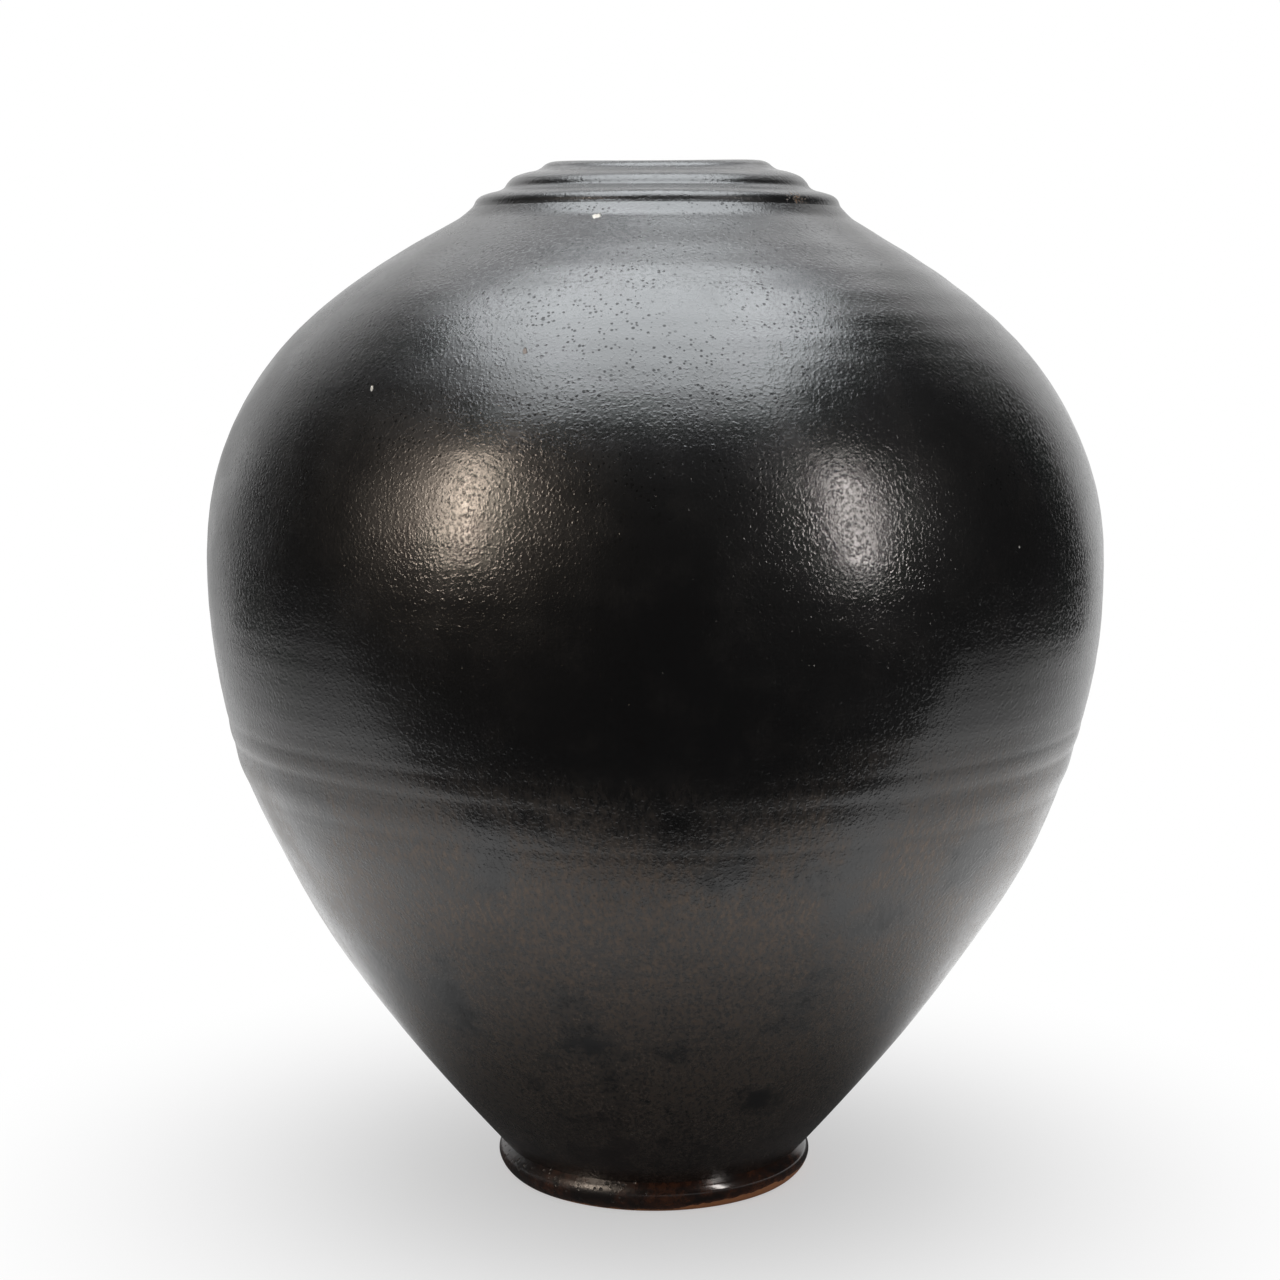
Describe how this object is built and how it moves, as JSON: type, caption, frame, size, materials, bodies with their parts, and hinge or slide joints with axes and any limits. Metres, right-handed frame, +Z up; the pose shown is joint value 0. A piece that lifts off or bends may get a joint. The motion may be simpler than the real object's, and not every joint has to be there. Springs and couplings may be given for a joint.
{
  "type": "stoneware jar",
  "caption": "Large round-bellied clay jar with a black iron glaze, a stepped collar round a small mouth, a luted waist seam and a turned foot ring.",
  "frame": {"origin": "centre of the circle that the foot ring rests on", "axes": "+Z up along the jar's turning axis, from the foot to the mouth; -Y towards the viewer of the front side"},
  "size_m": [0.3492, 0.3492, 0.4],
  "materials": {
    "foot_glaze": "thin red-brown iron glaze, glossy, breaking to bare orange-brown clay at the resting edge",
    "lower_glaze": "black-brown iron glaze with fine vertical streaks, glossy, lightly pitted",
    "seam_glaze": "black-brown iron glaze, glossy",
    "upper_glaze": "black iron glaze, glossy, orange-peel surface with small dark pits",
    "collar_glaze": "black-brown iron glaze, glossy, thinner and browner on the edges of the steps"
  },
  "bodies": {
    "root": {"foot_ring": "foot_glaze", "lower_body": "lower_glaze", "seam_band": "seam_glaze", "upper_body": "upper_glaze", "collar": "collar_glaze"}
  },
  "joints": []
}
